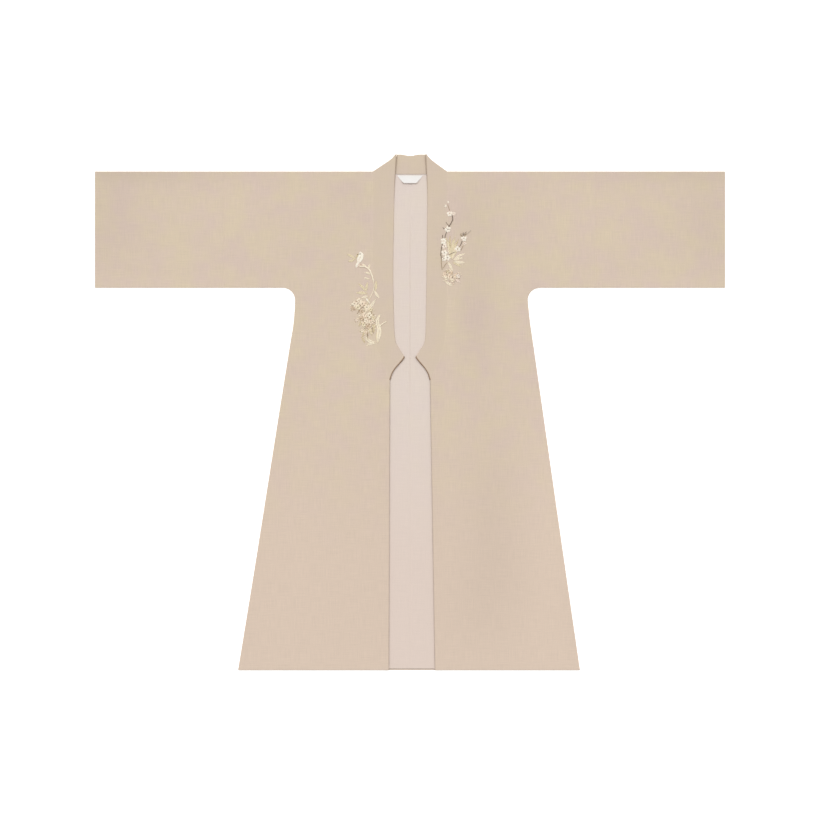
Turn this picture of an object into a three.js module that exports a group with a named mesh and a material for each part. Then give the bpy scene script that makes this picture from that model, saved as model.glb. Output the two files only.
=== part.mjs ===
// A hanfu robe of the open-fronted, straight-sleeved kind, laid flat on its back with its fronts up.
// Millimetres: X runs from cuff to cuff, Y from hem to collar, and Z is up from the surface it lies on.
// Left and right are the wearer's, so the robe's left half is at +X. "Below" is measured down the
// robe from the shoulder fold, and "out" is measured sideways from the centre back seam.

import * as THREE from 'three';

// Cut of the robe
const cuffToCuff = 1449;
const shoulderToHem = 1147;
const sleeveDepth = 268;
const sleeveSeamOut = 428;       // the sleeves are joined on beyond the point of the shoulder
const underarmRadius = 28;
const neckHalfWidth = 85;        // from the centre to the seam of the collar band
const backNeckDrop = 7;          // the back neck seam lies this far below the shoulder fold
const collarRise = 39;           // the collar's top fold stands this far above the shoulder fold
const collarTopDip = 3;          // that fold sags a little between its corners
const frontEdgeOut = 47;         // the fronts stop short of the centre by this much

// Cloth
const clothThick = 1.0;
const bandThick = 2.0;           // the collar band is doubled
const labelThick = 0.8;
const pieceGap = 0.3;            // between neighbours, side by side or one on the other
const liningInset = 3;           // the lining stops this far short of the outer cloth's edges
const armSink = { from: 285, to: 390 };  // past the armhole no lining holds the upper layer up

// How finely a piece is divided
const rowStep = 62;
const columnCount = 4;
const armColumns = 2;
const sleeveColumns = 5;
const curveSteps = 40;
const bandRungs = 14;
const rungPlaces = [0, 0.15, 0.4, 0.7, 1];
const filletSteps = 4;

// Side seams from the underarm curve to the hem, each side as it lies
const sideSeams = [
  { below: 296, right: 264.5, left: 271 },
  { below: 343, right: 267, left: 275.5 },
  { below: 412, right: 278, left: 285.5 },
  { below: 619, right: 311, left: 315 },
  { below: 895, right: 354.5, left: 354.5 },
  { below: 1147, right: 395.5, left: 391 },
];

// Edges of the collar band, from the fold over the shoulder to its slanted end. The inner fold
// runs beside the neck, and the outer seam joins the fronts.
const bandEdges = [
  { foldRight: 31, foldLeft: 36, foldBelow: -39, seam: neckHalfWidth, seamBelow: 0 },
  { foldRight: 36, foldLeft: 40, foldBelow: 55, seam: neckHalfWidth, seamBelow: 62 },
  { foldRight: 38, foldLeft: 39.5, foldBelow: 140, seam: neckHalfWidth, seamBelow: 140 },
  { foldRight: 39, foldLeft: 38.5, foldBelow: 240, seam: neckHalfWidth, seamBelow: 230 },
  { foldRight: 37.5, foldLeft: 37, foldBelow: 330, seam: 84.5, seamBelow: 316 },
  { foldRight: 34, foldLeft: 34.5, foldBelow: 388, seam: 80, seamBelow: 385 },
  { foldRight: 22, foldLeft: 22.5, foldBelow: 412, seam: 67, seamBelow: 432 },
  { foldRight: 13, foldLeft: 13.5, foldBelow: 426, seam: frontEdgeOut - 0.5, seamBelow: 481 },
];
const shoulderSag = 5;           // the band's slope over the shoulder starts this far under its corner
const endBow = 2.5;              // its slanted end bows out by this much
const tipInset = 1;              // behind the neck its two lower tips stop this far inside the seam

// The left front swings open a little towards the hem, and the right front hangs straight
const frontEdgeDrift = { right: 1.5, left: 10.5 };

// A small woven label on the lining, just under the back neck seam
const label = { out: 0, topWidth: 57, bottomWidth: 38, topBelow: 10, height: 18 };

const clothLook = { color: 0xd6c5b2, roughness: 0.85 };
const bandLook = { color: 0xd4c3af, roughness: 0.8 };
const liningLook = { color: 0xe1d3c7, roughness: 0.75 };
const labelLook = { color: 0xece8e4, roughness: 0.6 };

const halves = [
  { half: 'left', side: 1 },
  { half: 'right', side: -1 },
];
const halfSpan = cuffToCuff / 2;
const shoulderY = (shoulderToHem - collarRise) / 2;
const layerStep = clothThick + pieceGap;
const neckDipOut = neckHalfWidth - backNeckDrop;

function yAt(below) {
  return shoulderY - below;
}

function mix(a, b, t) {
  return THREE.MathUtils.lerp(a, b, t);
}

function spaced(from, to, step) {
  const count = Math.max(1, Math.round((to - from) / step));
  return Array.from({ length: count + 1 }, (_, i) => mix(from, to, i / count));
}

// Points along a smooth curve through two columns of a table
function curveThrough(table, outColumn, belowColumn, count) {
  const through = table.map((r) => new THREE.Vector2(r[outColumn], r[belowColumn]));
  return new THREE.SplineCurve(through).getPoints(count);
}

// How far out a curve's points stand at a place down the robe
function outAt(points, below) {
  const next = Math.max(1, points.findIndex((p) => p.y >= below));
  const a = points[next - 1];
  const b = points[next];
  return THREE.MathUtils.mapLinear(below, a.y, b.y, a.x, b.x);
}

const sideCurve = {
  left: curveThrough(sideSeams, 'left', 'below', curveSteps),
  right: curveThrough(sideSeams, 'right', 'below', curveSteps),
};
const innerFold = {
  left: curveThrough(bandEdges, 'foldLeft', 'foldBelow', bandRungs),
  right: curveThrough(bandEdges, 'foldRight', 'foldBelow', bandRungs),
};
const outerSeam = curveThrough(bandEdges, 'seam', 'seamBelow', bandRungs);
const bandEnd = outerSeam[bandRungs].y;

// Undersides of the three layers. Past the armhole there is no lining, so the upper layer sinks.
const onSurface = () => 0;
const onBack = () => layerStep;
const onLining = () => 2 * layerStep;
function onBackOrLining(x, y) {
  const inArm = y > yAt(sleeveDepth + underarmRadius);
  const sinks = inArm ? THREE.MathUtils.smoothstep(Math.abs(x), armSink.from, armSink.to) : 0;
  return layerStep * (2 - sinks);
}

// A closed wall of cloth over a plan of four-sided cells. Each block is a ladder of rows of plan
// points, and blocks that share a line of points are joined along it.
function clothSolid(blocks, underside, thickness) {
  const plan = [];
  const known = new Map();
  const cells = [];
  const indexOf = ([x, y]) => {
    const key = `${x.toFixed(3)} ${y.toFixed(3)}`;
    if (!known.has(key)) {
      known.set(key, plan.length);
      plan.push([x, y]);
    }
    return known.get(key);
  };
  for (const rows of blocks) {
    const grid = rows.map((row) => row.map(indexOf));
    for (let r = 0; r + 1 < grid.length; r++) {
      for (let c = 0; c + 1 < grid[r].length; c++) {
        cells.push(facingUp([grid[r][c], grid[r][c + 1], grid[r + 1][c + 1], grid[r + 1][c]], plan));
      }
    }
  }
  const lower = plan.map(([x, y]) => [x, y, underside(x, y)]);
  const upper = lower.map(([x, y, z]) => [x, y, z + thickness]);
  const top = plan.length;
  const faces = [];
  const edges = new Map();
  for (const [a, b, c, d] of cells) {
    faces.push(top + a, top + b, top + c, top + a, top + c, top + d);
    faces.push(a, c, b, a, d, c);
    for (const [from, to] of [[a, b], [b, c], [c, d], [d, a]]) edges.set(`${from} ${to}`, [from, to]);
  }
  for (const [from, to] of edges.values()) {
    if (edges.has(`${to} ${from}`)) continue;
    faces.push(from, to, top + to, from, top + to, top + from);
  }
  const geometry = new THREE.BufferGeometry();
  geometry.setAttribute('position', new THREE.Float32BufferAttribute([...lower, ...upper].flat(), 3));
  geometry.setIndex(faces);
  geometry.computeVertexNormals();
  return geometry;
}

function facingUp(cell, plan) {
  let area = 0;
  cell.forEach((from, i) => {
    const [x0, y0] = plan[from];
    const [x1, y1] = plan[cell[(i + 1) % cell.length]];
    area += x0 * y1 - x1 * y0;
  });
  return area > 0 ? cell : cell.reverse();
}

function cloth(name, blocks, underside, thickness, look) {
  const material = new THREE.MeshStandardMaterial({ ...look, metalness: 0 });
  const mesh = new THREE.Mesh(clothSolid(blocks, underside, thickness), material);
  mesh.name = name;
  return mesh;
}

// One row of plan points from one place out to another
function row(side, fromOut, toOut, below, columns) {
  return Array.from({ length: columns + 1 }, (_, i) => [side * mix(fromOut, toOut, i / columns), yAt(below)]);
}

// Rows down one side of the body: round the underarm, along the collar's seam, then to the hem
function bodyRows(half) {
  const curveEnd = sleeveDepth + underarmRadius;
  const curveCentre = outAt(sideCurve[half], curveEnd) + underarmRadius;
  const underarm = Array.from({ length: filletSteps + 1 }, (_, i) => {
    const turn = (Math.PI / 2) * (i / filletSteps);
    return {
      below: sleeveDepth + underarmRadius * (1 - Math.cos(turn)),
      out: curveCentre - underarmRadius * Math.sin(turn),
    };
  });
  const besideCollar = outerSeam.map((p) => p.y).filter((below) => below > curveEnd + rowStep / 4);
  const down = [...besideCollar, ...spaced(bandEnd, shoulderToHem, rowStep).slice(1)];
  return [...underarm, ...down.map((below) => ({ below, out: outAt(sideCurve[half], below) }))];
}

function frontInnerOut(half, below) {
  if (below <= bandEnd) return outAt(outerSeam, below) + pieceGap;
  return frontEdgeOut + (frontEdgeDrift[half] * (below - bandEnd)) / (shoulderToHem - bandEnd);
}

// A front: the body below the underarm, the shoulder above it, and the short arm beside that
function frontPanel({ half, side }) {
  const rows = bodyRows(half);
  const armStart = rows[0].out;
  const shoulderRows = spaced(0, sleeveDepth, rowStep);
  const body = rows.map((r) => row(side, frontInnerOut(half, r.below), r.out, r.below, columnCount));
  const shoulder = shoulderRows.map((b) => row(side, frontInnerOut(half, b), armStart, b, columnCount));
  const arm = shoulderRows.map((b) => row(side, armStart, sleeveSeamOut, b, armColumns));
  return cloth(`front_${half}`, [body, shoulder, arm], onBackOrLining, clothThick, clothLook);
}

// The back has the same blocks. Its top edge dips to the neck seam, and it meets its other half
// at the centre back seam.
function backBlocks({ half, side }, inset, withArm) {
  const across = (edge) => {
    const outs = [pieceGap / 2, neckDipOut / 2, neckDipOut, neckHalfWidth, (neckHalfWidth + edge) / 2, edge];
    return outs.map((out) => side * out);
  };
  const rows = bodyRows(half);
  rows[rows.length - 1].below -= inset;
  const armStart = rows[0].out - inset;
  const shoulderRows = spaced(inset, sleeveDepth, rowStep);
  const body = rows.map((r) => across(r.out - inset).map((x) => [x, yAt(r.below)]));
  const shoulder = shoulderRows.map((below) => {
    const inNeck = (x) => below === inset && Math.abs(x) <= neckDipOut;
    return across(armStart).map((x) => [x, yAt(inNeck(x) ? backNeckDrop : below)]);
  });
  const arm = shoulderRows.map((below) => row(side, armStart, sleeveSeamOut, below, armColumns));
  return withArm ? [body, shoulder, arm] : [body, shoulder];
}

function backPanel(place) {
  return cloth(`back_${place.half}`, backBlocks(place, 0, true), onSurface, clothThick, clothLook);
}

function backLining(place) {
  return cloth(`lining_${place.half}`, backBlocks(place, liningInset, false), onBack, clothThick, liningLook);
}

function sleeveLayer({ half, side }, layer, underside) {
  const seamOut = sleeveSeamOut + pieceGap;
  const rows = spaced(0, sleeveDepth, rowStep).map((b) => row(side, seamOut, halfSpan, b, sleeveColumns));
  return cloth(`sleeve_${half}_${layer}`, [rows], underside, clothThick, clothLook);
}

// The collar down one front: rungs between its inner fold and its outer seam. The first rung is the
// fold over the shoulder, and the last is the slanted end.
function collarFront({ half, side }) {
  const rungs = innerFold[half].map((fold, i) => {
    const seam = outerSeam[i];
    return rungPlaces.map((t) => {
      const sag = i === 0 && t > 0 ? shoulderSag * (1 - t) : 0;
      const bow = i === bandRungs ? endBow * 4 * t * (1 - t) : 0;
      return [side * (mix(fold.x, seam.x, t) + bow), yAt(mix(fold.y, seam.y, t) + sag - bow)];
    });
  });
  return cloth(`collar_${half}`, [rungs], onLining, bandThick, bandLook);
}

// The collar behind the neck: the doubled band from the back neck seam up to its top fold
function collarBack() {
  const corner = { left: bandEdges[0].foldLeft, right: -bandEdges[0].foldRight };
  const slope = { left: mix(corner.left, neckDipOut, 0.5), right: mix(corner.right, -neckDipOut, 0.5) };
  const tip = neckHalfWidth - tipInset;
  const xs = [-tip, -neckDipOut, slope.right, corner.right, 0, corner.left, slope.left, neckDipOut, tip];
  const seamBelow = (x) => backNeckDrop - Math.max(0, Math.abs(x) - neckDipOut) - pieceGap;
  const foldBelow = (x) => {
    const cornerX = x < 0 ? corner.right : corner.left;
    if (x === 0) return collarTopDip - collarRise;
    if (Math.abs(x) <= Math.abs(cornerX)) return -collarRise;
    const along = (Math.abs(x) - Math.abs(cornerX)) / (neckHalfWidth - Math.abs(cornerX));
    return mix(shoulderSag - collarRise, 0, along);
  };
  const rows = [0, 0.5, 1].map((t) => xs.map((x) => [x, yAt(mix(seamBelow(x), foldBelow(x), t))]));
  return cloth('collar_back', [rows], onSurface, clothThick + layerStep, bandLook);
}

function neckLabel() {
  const rows = [0, 1].map((t) => {
    const halfWidth = mix(label.topWidth, label.bottomWidth, t) / 2;
    const y = yAt(label.topBelow + label.height * t);
    return [[label.out - halfWidth, y], [label.out + halfWidth, y]];
  });
  return cloth('neck_label', [rows], onLining, labelThick, labelLook);
}

const robe = new THREE.Group();
for (const place of halves) {
  robe.add(backPanel(place));
  robe.add(backLining(place));
  robe.add(frontPanel(place));
  robe.add(sleeveLayer(place, 'back', onSurface));
  robe.add(sleeveLayer(place, 'front', onBackOrLining));
  robe.add(collarFront(place));
}
robe.add(collarBack());
robe.add(neckLabel());

export default robe;
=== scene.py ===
import math
import random

import bmesh
import bpy
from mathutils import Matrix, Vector
from mathutils.bvhtree import BVHTree


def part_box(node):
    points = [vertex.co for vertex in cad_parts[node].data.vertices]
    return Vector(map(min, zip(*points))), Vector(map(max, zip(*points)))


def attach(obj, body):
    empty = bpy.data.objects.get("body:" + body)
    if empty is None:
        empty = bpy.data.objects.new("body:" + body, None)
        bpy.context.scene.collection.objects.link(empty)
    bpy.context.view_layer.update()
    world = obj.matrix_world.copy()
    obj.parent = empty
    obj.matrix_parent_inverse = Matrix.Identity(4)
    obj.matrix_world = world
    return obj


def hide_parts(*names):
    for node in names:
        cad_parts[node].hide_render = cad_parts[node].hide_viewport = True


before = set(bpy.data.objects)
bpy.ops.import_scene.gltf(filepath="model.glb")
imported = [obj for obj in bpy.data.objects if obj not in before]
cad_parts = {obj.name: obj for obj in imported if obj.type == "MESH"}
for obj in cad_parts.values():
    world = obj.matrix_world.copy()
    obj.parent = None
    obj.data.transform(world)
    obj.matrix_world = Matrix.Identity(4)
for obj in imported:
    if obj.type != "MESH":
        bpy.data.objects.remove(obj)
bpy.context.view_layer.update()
bpy.ops.object.select_all(action="DESELECT")
print("frame loaded")

mm = 0.001
halves = {"left": 1, "right": -1}    # the wearer's left is at +X

# places and levels that the whole robe shares, from the frame
robe = {
    "shoulderY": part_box("front_left")[1].y,
    "hemY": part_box("front_left")[0].y,
    "underarmY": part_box("sleeve_left_front")[0].y,
    "sleeveSeam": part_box("front_left")[1].x,
    "cuff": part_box("sleeve_left_front")[1].x,
    "frontTop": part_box("front_left")[1].z,
    "sleeveTop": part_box("sleeve_left_front")[1].z,
    "liningTop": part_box("lining_left")[1].z,
    "bandTop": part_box("collar_left")[1].z,
    "bandUnder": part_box("collar_left")[0].z,
    "neckHalf": 85 * mm,
    "neckDrop": 7 * mm,              # the back neck seam lies this far below the shoulder fold
    "underarmRadius": 28 * mm,
    "armSinkFrom": 285 * mm,         # past the lining the upper layer comes down on the back
    "armSinkTo": 390 * mm,
    "clothThick": 0.45 * mm,
    "foldRadius": 1.7 * mm,          # where the cloth turns over at the shoulders and sides
    "seamLap": 0.15 * mm,            # the collar lies this far over the front's edge
    "cell": 7 * mm,
    "underarmSteps": 12,
    "sideSteps": 240,
    "seamSteps": 160,
    "neckBlend": 0.7,
    "lineCore": 0.3 * mm,            # a dark line keeps its full depth this far in
    "wallAngle": 50,                 # degrees under which faces shade as one surface
    "foldAngle": 60,
}
filletY = robe["underarmY"] - robe["underarmRadius"]
rimSteps = [0, 0.25 * mm, 0.7 * mm, 1.4 * mm, 2.4 * mm, 4.5 * mm]


def lerp(a, b, t):
    return a + (b - a) * t


def smoothStep(value, low, high):
    t = min(max((value - low) / (high - low), 0), 1)
    return t * t * (3 - 2 * t)


def rounded(distance, radius):
    # 0 at an edge and 1 a radius further in, along a quarter circle
    t = min(max(distance / radius, 0), 1)
    return math.sqrt(1 - (1 - t) ** 2)


def paintedShadeLine(distance, line):
    # the painted shade beside an edge or under a fold, where less light comes
    reach, depth = line
    return 1 - depth * (1 - smoothStep(distance, robe["lineCore"], reach))


def splinePoint(points, t):
    # t runs from 0 to 1 over the whole row of points
    place = min(max(t, 0), 1) * (len(points) - 1)
    i = min(int(place), len(points) - 2)
    u = place - i
    a, b, c, d = (Vector(points[min(max(i + k, 0), len(points) - 1)]) for k in (-1, 0, 1, 2))
    inward = (c - a) * 0.5
    outward = (d - b) * 0.5
    return (
        b * (2 * u**3 - 3 * u**2 + 1) + c * (3 * u**2 - 2 * u**3)
        + inward * (u**3 - 2 * u**2 + u) + outward * (u**3 - u**2)
    )


def splineLine(points, steps):
    return [splinePoint(points, i / steps) for i in range(steps + 1)]


def readAcross(points, y):
    # how far out a line of (out, y) points, going down, stands at y
    for a, b in zip(points, points[1:]):
        if b[1] <= y or b is points[-1]:
            return lerp(a[0], b[0], (a[1] - y) / max(a[1] - b[1], 1e-9))


def spread(first, last, count):
    return [lerp(first, last, i / count) for i in range(count + 1)]


def spaced(start, end, step, rimAtStart=True, rimAtEnd=True):
    # places from start to end, closer together where the cloth turns over
    way = 1 if end > start else -1
    first = [start + way * s for s in rimSteps] if rimAtStart else [start]
    last = [end - way * s for s in reversed(rimSteps)] if rimAtEnd else [end]
    count = max(1, round(abs(last[0] - first[-1]) / step))
    return first[:-1] + spread(first[-1], last[0], count) + last[1:]


def spacedInto(start, end, count):
    # the same for a given number of places, so that rows of unlike width still join
    middle = count - 2 * len(rimSteps) + 1
    first = [start + s for s in rimSteps]
    last = [end - s for s in reversed(rimSteps)]
    return first[:-1] + spread(first[-1], last[0], middle) + last[1:]


# the collar band: an inner fold beside the neck and a seam to the fronts, down to a slanted end
collar = {
    "edges": [    # fold out, on the right and on the left, fold y, seam out, seam y
        (31, 36, -40.5, 85, 0),
        (36, 40, 55, 85, 62),
        (38, 39.5, 140, 85, 140),
        (39, 38.5, 240, 85, 230),
        (37.5, 37, 330, 84.5, 316),
        (34, 34.5, 388, 80, 385),
        (22, 22.5, 412, 67, 432),
        (13, 13.5, 426, 46.5, 480),
    ],
    "rungs": 150,
    "backRise": 39 * mm,
    "shoulderSag": 5 * mm,
    "sagSpread": 0.3,
    "endBow": 3.8 * mm,
    "bowScale": 27 / 4,              # brings the bow's curve up to 1 at its peak
    "bendShare": 14,                 # the sag and the bow fade out over one part in this many
    "topDip": 3 * mm,
    "dipReach": (3 * mm, 21 * mm),
    "width": 46 * mm,
    "length": 500 * mm,
    "cut": (60 * mm, 560 * mm),
    "backCut": (170 * mm, 46 * mm),
    "crown": 0.35 * mm,
    "endLift": 0.7 * mm,             # the slanted end stands off the lining
    "endLiftReach": 30 * mm,
    "endLip": 2.0 * mm,              # and its turned edge slopes down
    "lipRound": 3 * mm,
    "endSlope": 4 * mm,
    "neckLift": 3.0 * mm,            # and the fold stands up beside the neck
    "neckLiftReach": 60 * mm,
    "endLine": (4.8 * mm, 0.68),     # reach and depth of the painted shade along the slanted end
    # painted shade beside the fold near the neck, and on the collar back beside the bands' folds
    "foldLine": (2.6 * mm, 0.23),
    "foldLineTop": 40 * mm,
    "foldLineEnd": 95 * mm,
    "besideLine": (4 * mm, 0.14),
    "foldSlope": 0.05,
    # a painted highlight along the seam to the fronts
    "seamGleam": 0.012,
    "seamGleamReach": (1 * mm, 5 * mm),
    "seamRound": 0.06,               # edges, as shares of the band's thickness
    "topRound": 0.8,
    "backSeamRound": 0.3,
    "backCell": 1.5 * mm,
    "backGap": 0.3 * mm,
    "backCrown": 0.25 * mm,
    "backTipIn": 1 * mm,
}


def bandEdge(side, t):
    # the fold and the seam at a place along the band
    foldColumn = 1 if side > 0 else 0
    folds = [(row[foldColumn] * mm, robe["shoulderY"] - row[2] * mm) for row in collar["edges"]]
    seams = [(row[3] * mm, robe["shoulderY"] - row[4] * mm) for row in collar["edges"]]
    return tuple(splinePoint([(x, y, 0) for x, y in line], t) for line in (folds, seams))


seamLine = [tuple(bandEdge(1, i / robe["seamSteps"])[1])[:2] for i in range(robe["seamSteps"] + 1)]
bandEndY = seamLine[-1][1]


# outlines of the two halves, read from the frame's own rows of points
def nodeRows(node, pick):
    rows = {}
    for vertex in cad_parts[node].data.vertices:
        rows.setdefault(round(vertex.co.y, 5), []).append(abs(vertex.co.x))
    return {y: pick(outs) for y, outs in rows.items()}


sideLine = {}
frontEdgeAtHem = {}
for half in halves:
    outs = sorted(nodeRows("front_" + half, max).items(), reverse=True)
    below = [(out, y, 0) for y, out in outs if y <= filletY + 1e-4]
    sideLine[half] = [tuple(point)[:2] for point in splineLine(below, robe["sideSteps"])]
    ins = nodeRows("front_" + half, min)
    frontEdgeAtHem[half] = ins[min(ins)]


def sideOut(half, y):
    return readAcross(sideLine[half], y)


def frontIn(half, y):
    if y >= bandEndY:
        return readAcross(seamLine, y) - robe["seamLap"]
    down = (bandEndY - y) / (bandEndY - robe["hemY"])
    return lerp(seamLine[-1][0] - robe["seamLap"], frontEdgeAtHem[half], down)


def armStart(half):
    return sideOut(half, filletY) + robe["underarmRadius"]


def insideBy(half, out, y):
    # how far in from the folded and sewn edges a place lies
    if y >= robe["underarmY"]:
        low = y - robe["underarmY"] if out > armStart(half) else 1
        return min(robe["shoulderY"] - y, low)
    if y > filletY:
        return math.hypot(out - armStart(half), y - filletY) - robe["underarmRadius"]
    return sideOut(half, y) - out


# soft troughs and ridges: start, end, bow, width and rise of each, in millimetres
frontFolds = [
    ((268, 262), (158, 372), 12, 17, 0.55),
    ((276, 232), (172, 78), -16, 20, -0.5),
    ((128, 330), (118, 96), 9, 24, -0.55),
    ((205, 20), (262, -430), 14, 30, 0.6),
    ((140, -40), (150, -560), -12, 26, -0.6),
    ((96, 20), (84, -300), 6, 15, 0.4),
    ((300, -250), (352, -585), -8, 21, -0.45),
    ((330, 500), (210, 420), 10, 26, 0.4),
    ((-262, 266), (-168, 402), -10, 19, 0.5),
    ((-270, 228), (-190, 40), 15, 23, -0.55),
    ((-118, 120), (-126, -210), -8, 22, 0.45),
    ((-196, -20), (-246, -500), -16, 33, 0.6),
    ((-292, -180), (-340, -560), 11, 24, -0.5),
    ((-84, -190), (-92, -575), 7, 18, -0.4),
    ((-345, 512), (-232, 436), -9, 24, 0.35),
]
backFolds = [
    ((60, 380), (96, -420), 14, 30, 0.4),
    ((220, 180), (276, -480), -12, 26, 0.45),
    ((-70, 300), (-112, -520), -10, 34, 0.4),
    ((-240, 120), (-302, -400), 9, 22, 0.5),
]
sleeveFolds = [
    ((436, 470), (640, 492), 9, 24, -0.5),
    ((470, 352), (716, 330), -7, 20, 0.55),
    ((560, 420), (722, 404), 6, 15, 0.35),
    ((-440, 482), (-660, 470), -8, 27, -0.5),
    ((-456, 338), (-712, 346), 9, 18, 0.5),
    ((-610, 432), (-720, 452), 4, 13, 0.3),
]
liningFolds = [
    ((24, 470), (30, 60), 3, 5, 0.22),
    ((12, 380), (15, -140), -2, 4, -0.18),
    ((-21, 500), (-16, 120), -3, 6, 0.24),
    ((-30, 200), (-27, -330), 2, 5, -0.2),
    ((20, -60), (27, -560), 4, 6, 0.25),
    ((-12, -160), (-18, -580), -3, 5, 0.2),
]


def foldRise(folds, x, y):
    total = 0
    for (x0, y0), (x1, y1), bow, width, rise in folds:
        dx, dy = x1 - x0, y1 - y0
        length = math.hypot(dx, dy)
        px, py = x / mm - x0, y / mm - y0
        t = (px * dx + py * dy) / length**2
        if 0 < t < 1:
            across = (py * dx - px * dy) / length - bow * 4 * t * (1 - t)
            fade = math.sin(math.pi * t) ** 0.7
            total += rise * mm * fade * math.exp(-((across / width) ** 2))
    return total


# painted light and shade: patches where the cloth's colour is made a shade darker or lighter, standing in
# for soft light and shade over the cloth. Middle, reach and change of each
paintedShadingPatches = [
    ((150, 290), (50, 190), -0.036),
    ((150, 190), (38, 90), -0.016),
    ((185, -220), (58, 170), -0.042),
    ((215, -360), (66, 90), -0.016),
    ((92, 210), (12, 150), 0.014),
    ((620, 550), (210, 22), -0.058),
    ((-620, 550), (210, 24), -0.072),
    ((700, 440), (90, 130), -0.044),
    ((-700, 440), (90, 130), -0.044),
    ((600, 300), (200, 20), 0.018),
    ((-600, 300), (220, 20), 0.018),
    ((-200, 380), (90, 120), -0.010),
    ((-420, 470), (80, 70), 0.014),
    ((400, 440), (90, 80), 0.014),
    ((-280, -380), (140, 320), 0.014),
    ((-150, 60), (90, 120), 0.008),
    ((325, -220), (56, 330), 0.034),
    ((250, -560), (190, 70), 0.010),
    ((158, -450), (66, 120), -0.030),
    ((150, 465), (60, 80), -0.022),
    ((-126, 512), (60, 50), -0.022),
    ((240, 500), (50, 50), -0.014),
    ((-690, 510), (70, 60), -0.010),
]


def paintedShadingAt(x, y):
    paintedShading = 1
    for (x0, y0), (reachX, reachY), change in paintedShadingPatches:
        across = (x / mm - x0) / reachX
        down = (y / mm - y0) / reachY
        paintedShading += change * math.exp(-(across * across + down * down))
    return paintedShading


def newPiece(name, points, faces):
    mesh = bpy.data.meshes.new(name)
    mesh.from_pydata(points, [], faces)
    mesh.update()
    piece = bpy.data.objects.new(name, mesh)
    bpy.context.scene.collection.objects.link(piece)
    return piece


# a sheet of cloth from ladders of rows of points, each ladder facing up or down.
# A point is (x, y, z), and may end with a painted shading factor of its own.
def sheetObject(name, ladders):
    points, paintedShadings, known, faces = [], [], {}, []
    cutArea = 0

    def place(point):
        key = tuple(round(c * 1e7) for c in point[:3])
        if key not in known:
            known[key] = len(points)
            points.append(point[:3])
            paintedShadings.append(paintedShadingAt(*point[:2]) * (point[3] if len(point) > 3 else 1))
        return known[key]

    for rows, facing in ladders:
        grid = [[place(point) for point in row] for row in rows]
        lastRow, lastCell = len(grid) - 2, len(grid[0]) - 2
        for row, (upper, lower) in enumerate(zip(grid, grid[1:])):
            for k in range(lastCell + 1):
                cell = [upper[k], upper[k + 1], lower[k + 1], lower[k]]
                corners = [points[i] for i in cell]
                area = sum(
                    a[0] * b[1] - b[0] * a[1] for a, b in zip(corners, corners[1:] + corners[:1])
                ) / 2
                cutArea += abs(area)
                if area * facing < 0:
                    cell.reverse()
                if row in (0, lastRow) and k in (0, lastCell):
                    # a corner is cut through its outer point, so that two layers never share a triangle
                    outer = (upper if row == 0 else lower)[0 if k == 0 else -1]
                    at = cell.index(outer)
                    cell = cell[at:] + cell[:at]
                    faces += [cell[:3], [cell[0], *cell[2:]]]
                else:
                    faces.append(cell)
    piece = newPiece(name, points, faces)
    # each point's painted light and shade is kept in an attribute that darkens or lightens the colour
    paintedShading = piece.data.attributes.new("paintedShading", "FLOAT", "POINT")
    paintedShading.data.foreach_set("value", paintedShadings)
    return piece, cutArea


def selectOnly(piece):
    bpy.ops.object.select_all(action="DESELECT")
    bpy.context.view_layer.objects.active = piece
    piece.select_set(True)


def smoothPiece(piece, angle=robe["foldAngle"]):
    selectOnly(piece)
    bpy.ops.object.shade_smooth_by_angle(angle=math.radians(angle))
    piece.select_set(False)


def giveThickness(piece, thickness):
    selectOnly(piece)
    wall = piece.modifiers.new("wall", "SOLIDIFY")
    wall.thickness = thickness
    wall.offset = -1
    bpy.ops.object.modifier_apply(modifier=wall.name)
    smoothPiece(piece, robe["wallAngle"])


# heights of the body's two layers. The front layer has free edges at the opening, hem and seams.
body = {
    "edgeDrop": 0.8 * mm,
    "edgeRound": 1.2 * mm,
    "edgeLift": 1.6 * mm,            # the free front edges stand a little off the lining
    "edgeLiftReach": 13 * mm,
    "bandRise": 0.95 * mm,           # the seam allowance lifts the cloth beside the collar
    "bandRiseFrom": 1 * mm,
    "bandRiseReach": 8 * mm,
    "seamDrop": 0.3 * mm,
    "foldFade": 16 * mm,
    "hemTurn": 26 * mm,              # the hem and cuffs are turned up this far
    "hemStep": 0.16 * mm,
    "hemStepSlope": 1.5 * mm,
    "cuffDrop": 0.3 * mm,
    # reach and depth of the painted shade along the free front edges and along the hem
    "edgeLine": (2.6 * mm, 0.11),
    "hemLine": (2.2 * mm, 0.14),
}


def layerTop(out, y):
    sinks = smoothStep(out, robe["armSinkFrom"], robe["armSinkTo"]) if y > filletY else 0
    return lerp(robe["frontTop"], robe["sleeveTop"], sinks)


def frontZ(half, out, y):
    inside = insideBy(half, out, y)
    ring = layerTop(out, y) / 2
    fade = smoothStep(inside, 0, body["foldFade"])
    z = layerTop(out, y) + foldRise(frontFolds, halves[half] * out, y) * fade
    inner = out - frontIn(half, y)
    z += body["hemStep"] * smoothStep(body["hemTurn"] - (y - robe["hemY"]), 0, body["hemStepSlope"])
    if y < bandEndY:
        z += body["edgeLift"] * (1 - smoothStep(inner, 0, body["edgeLiftReach"]))
        z -= body["edgeDrop"] * (1 - rounded(inner, body["edgeRound"]))
    else:
        z += body["bandRise"] * (1 - smoothStep(inner, body["bandRiseFrom"], body["bandRiseReach"]))
    z -= body["edgeDrop"] * (1 - rounded(y - robe["hemY"], body["edgeRound"]))
    z -= body["seamDrop"] * (1 - rounded(robe["sleeveSeam"] - out, body["edgeRound"]))
    return lerp(ring, z, rounded(inside, robe["foldRadius"]))


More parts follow.
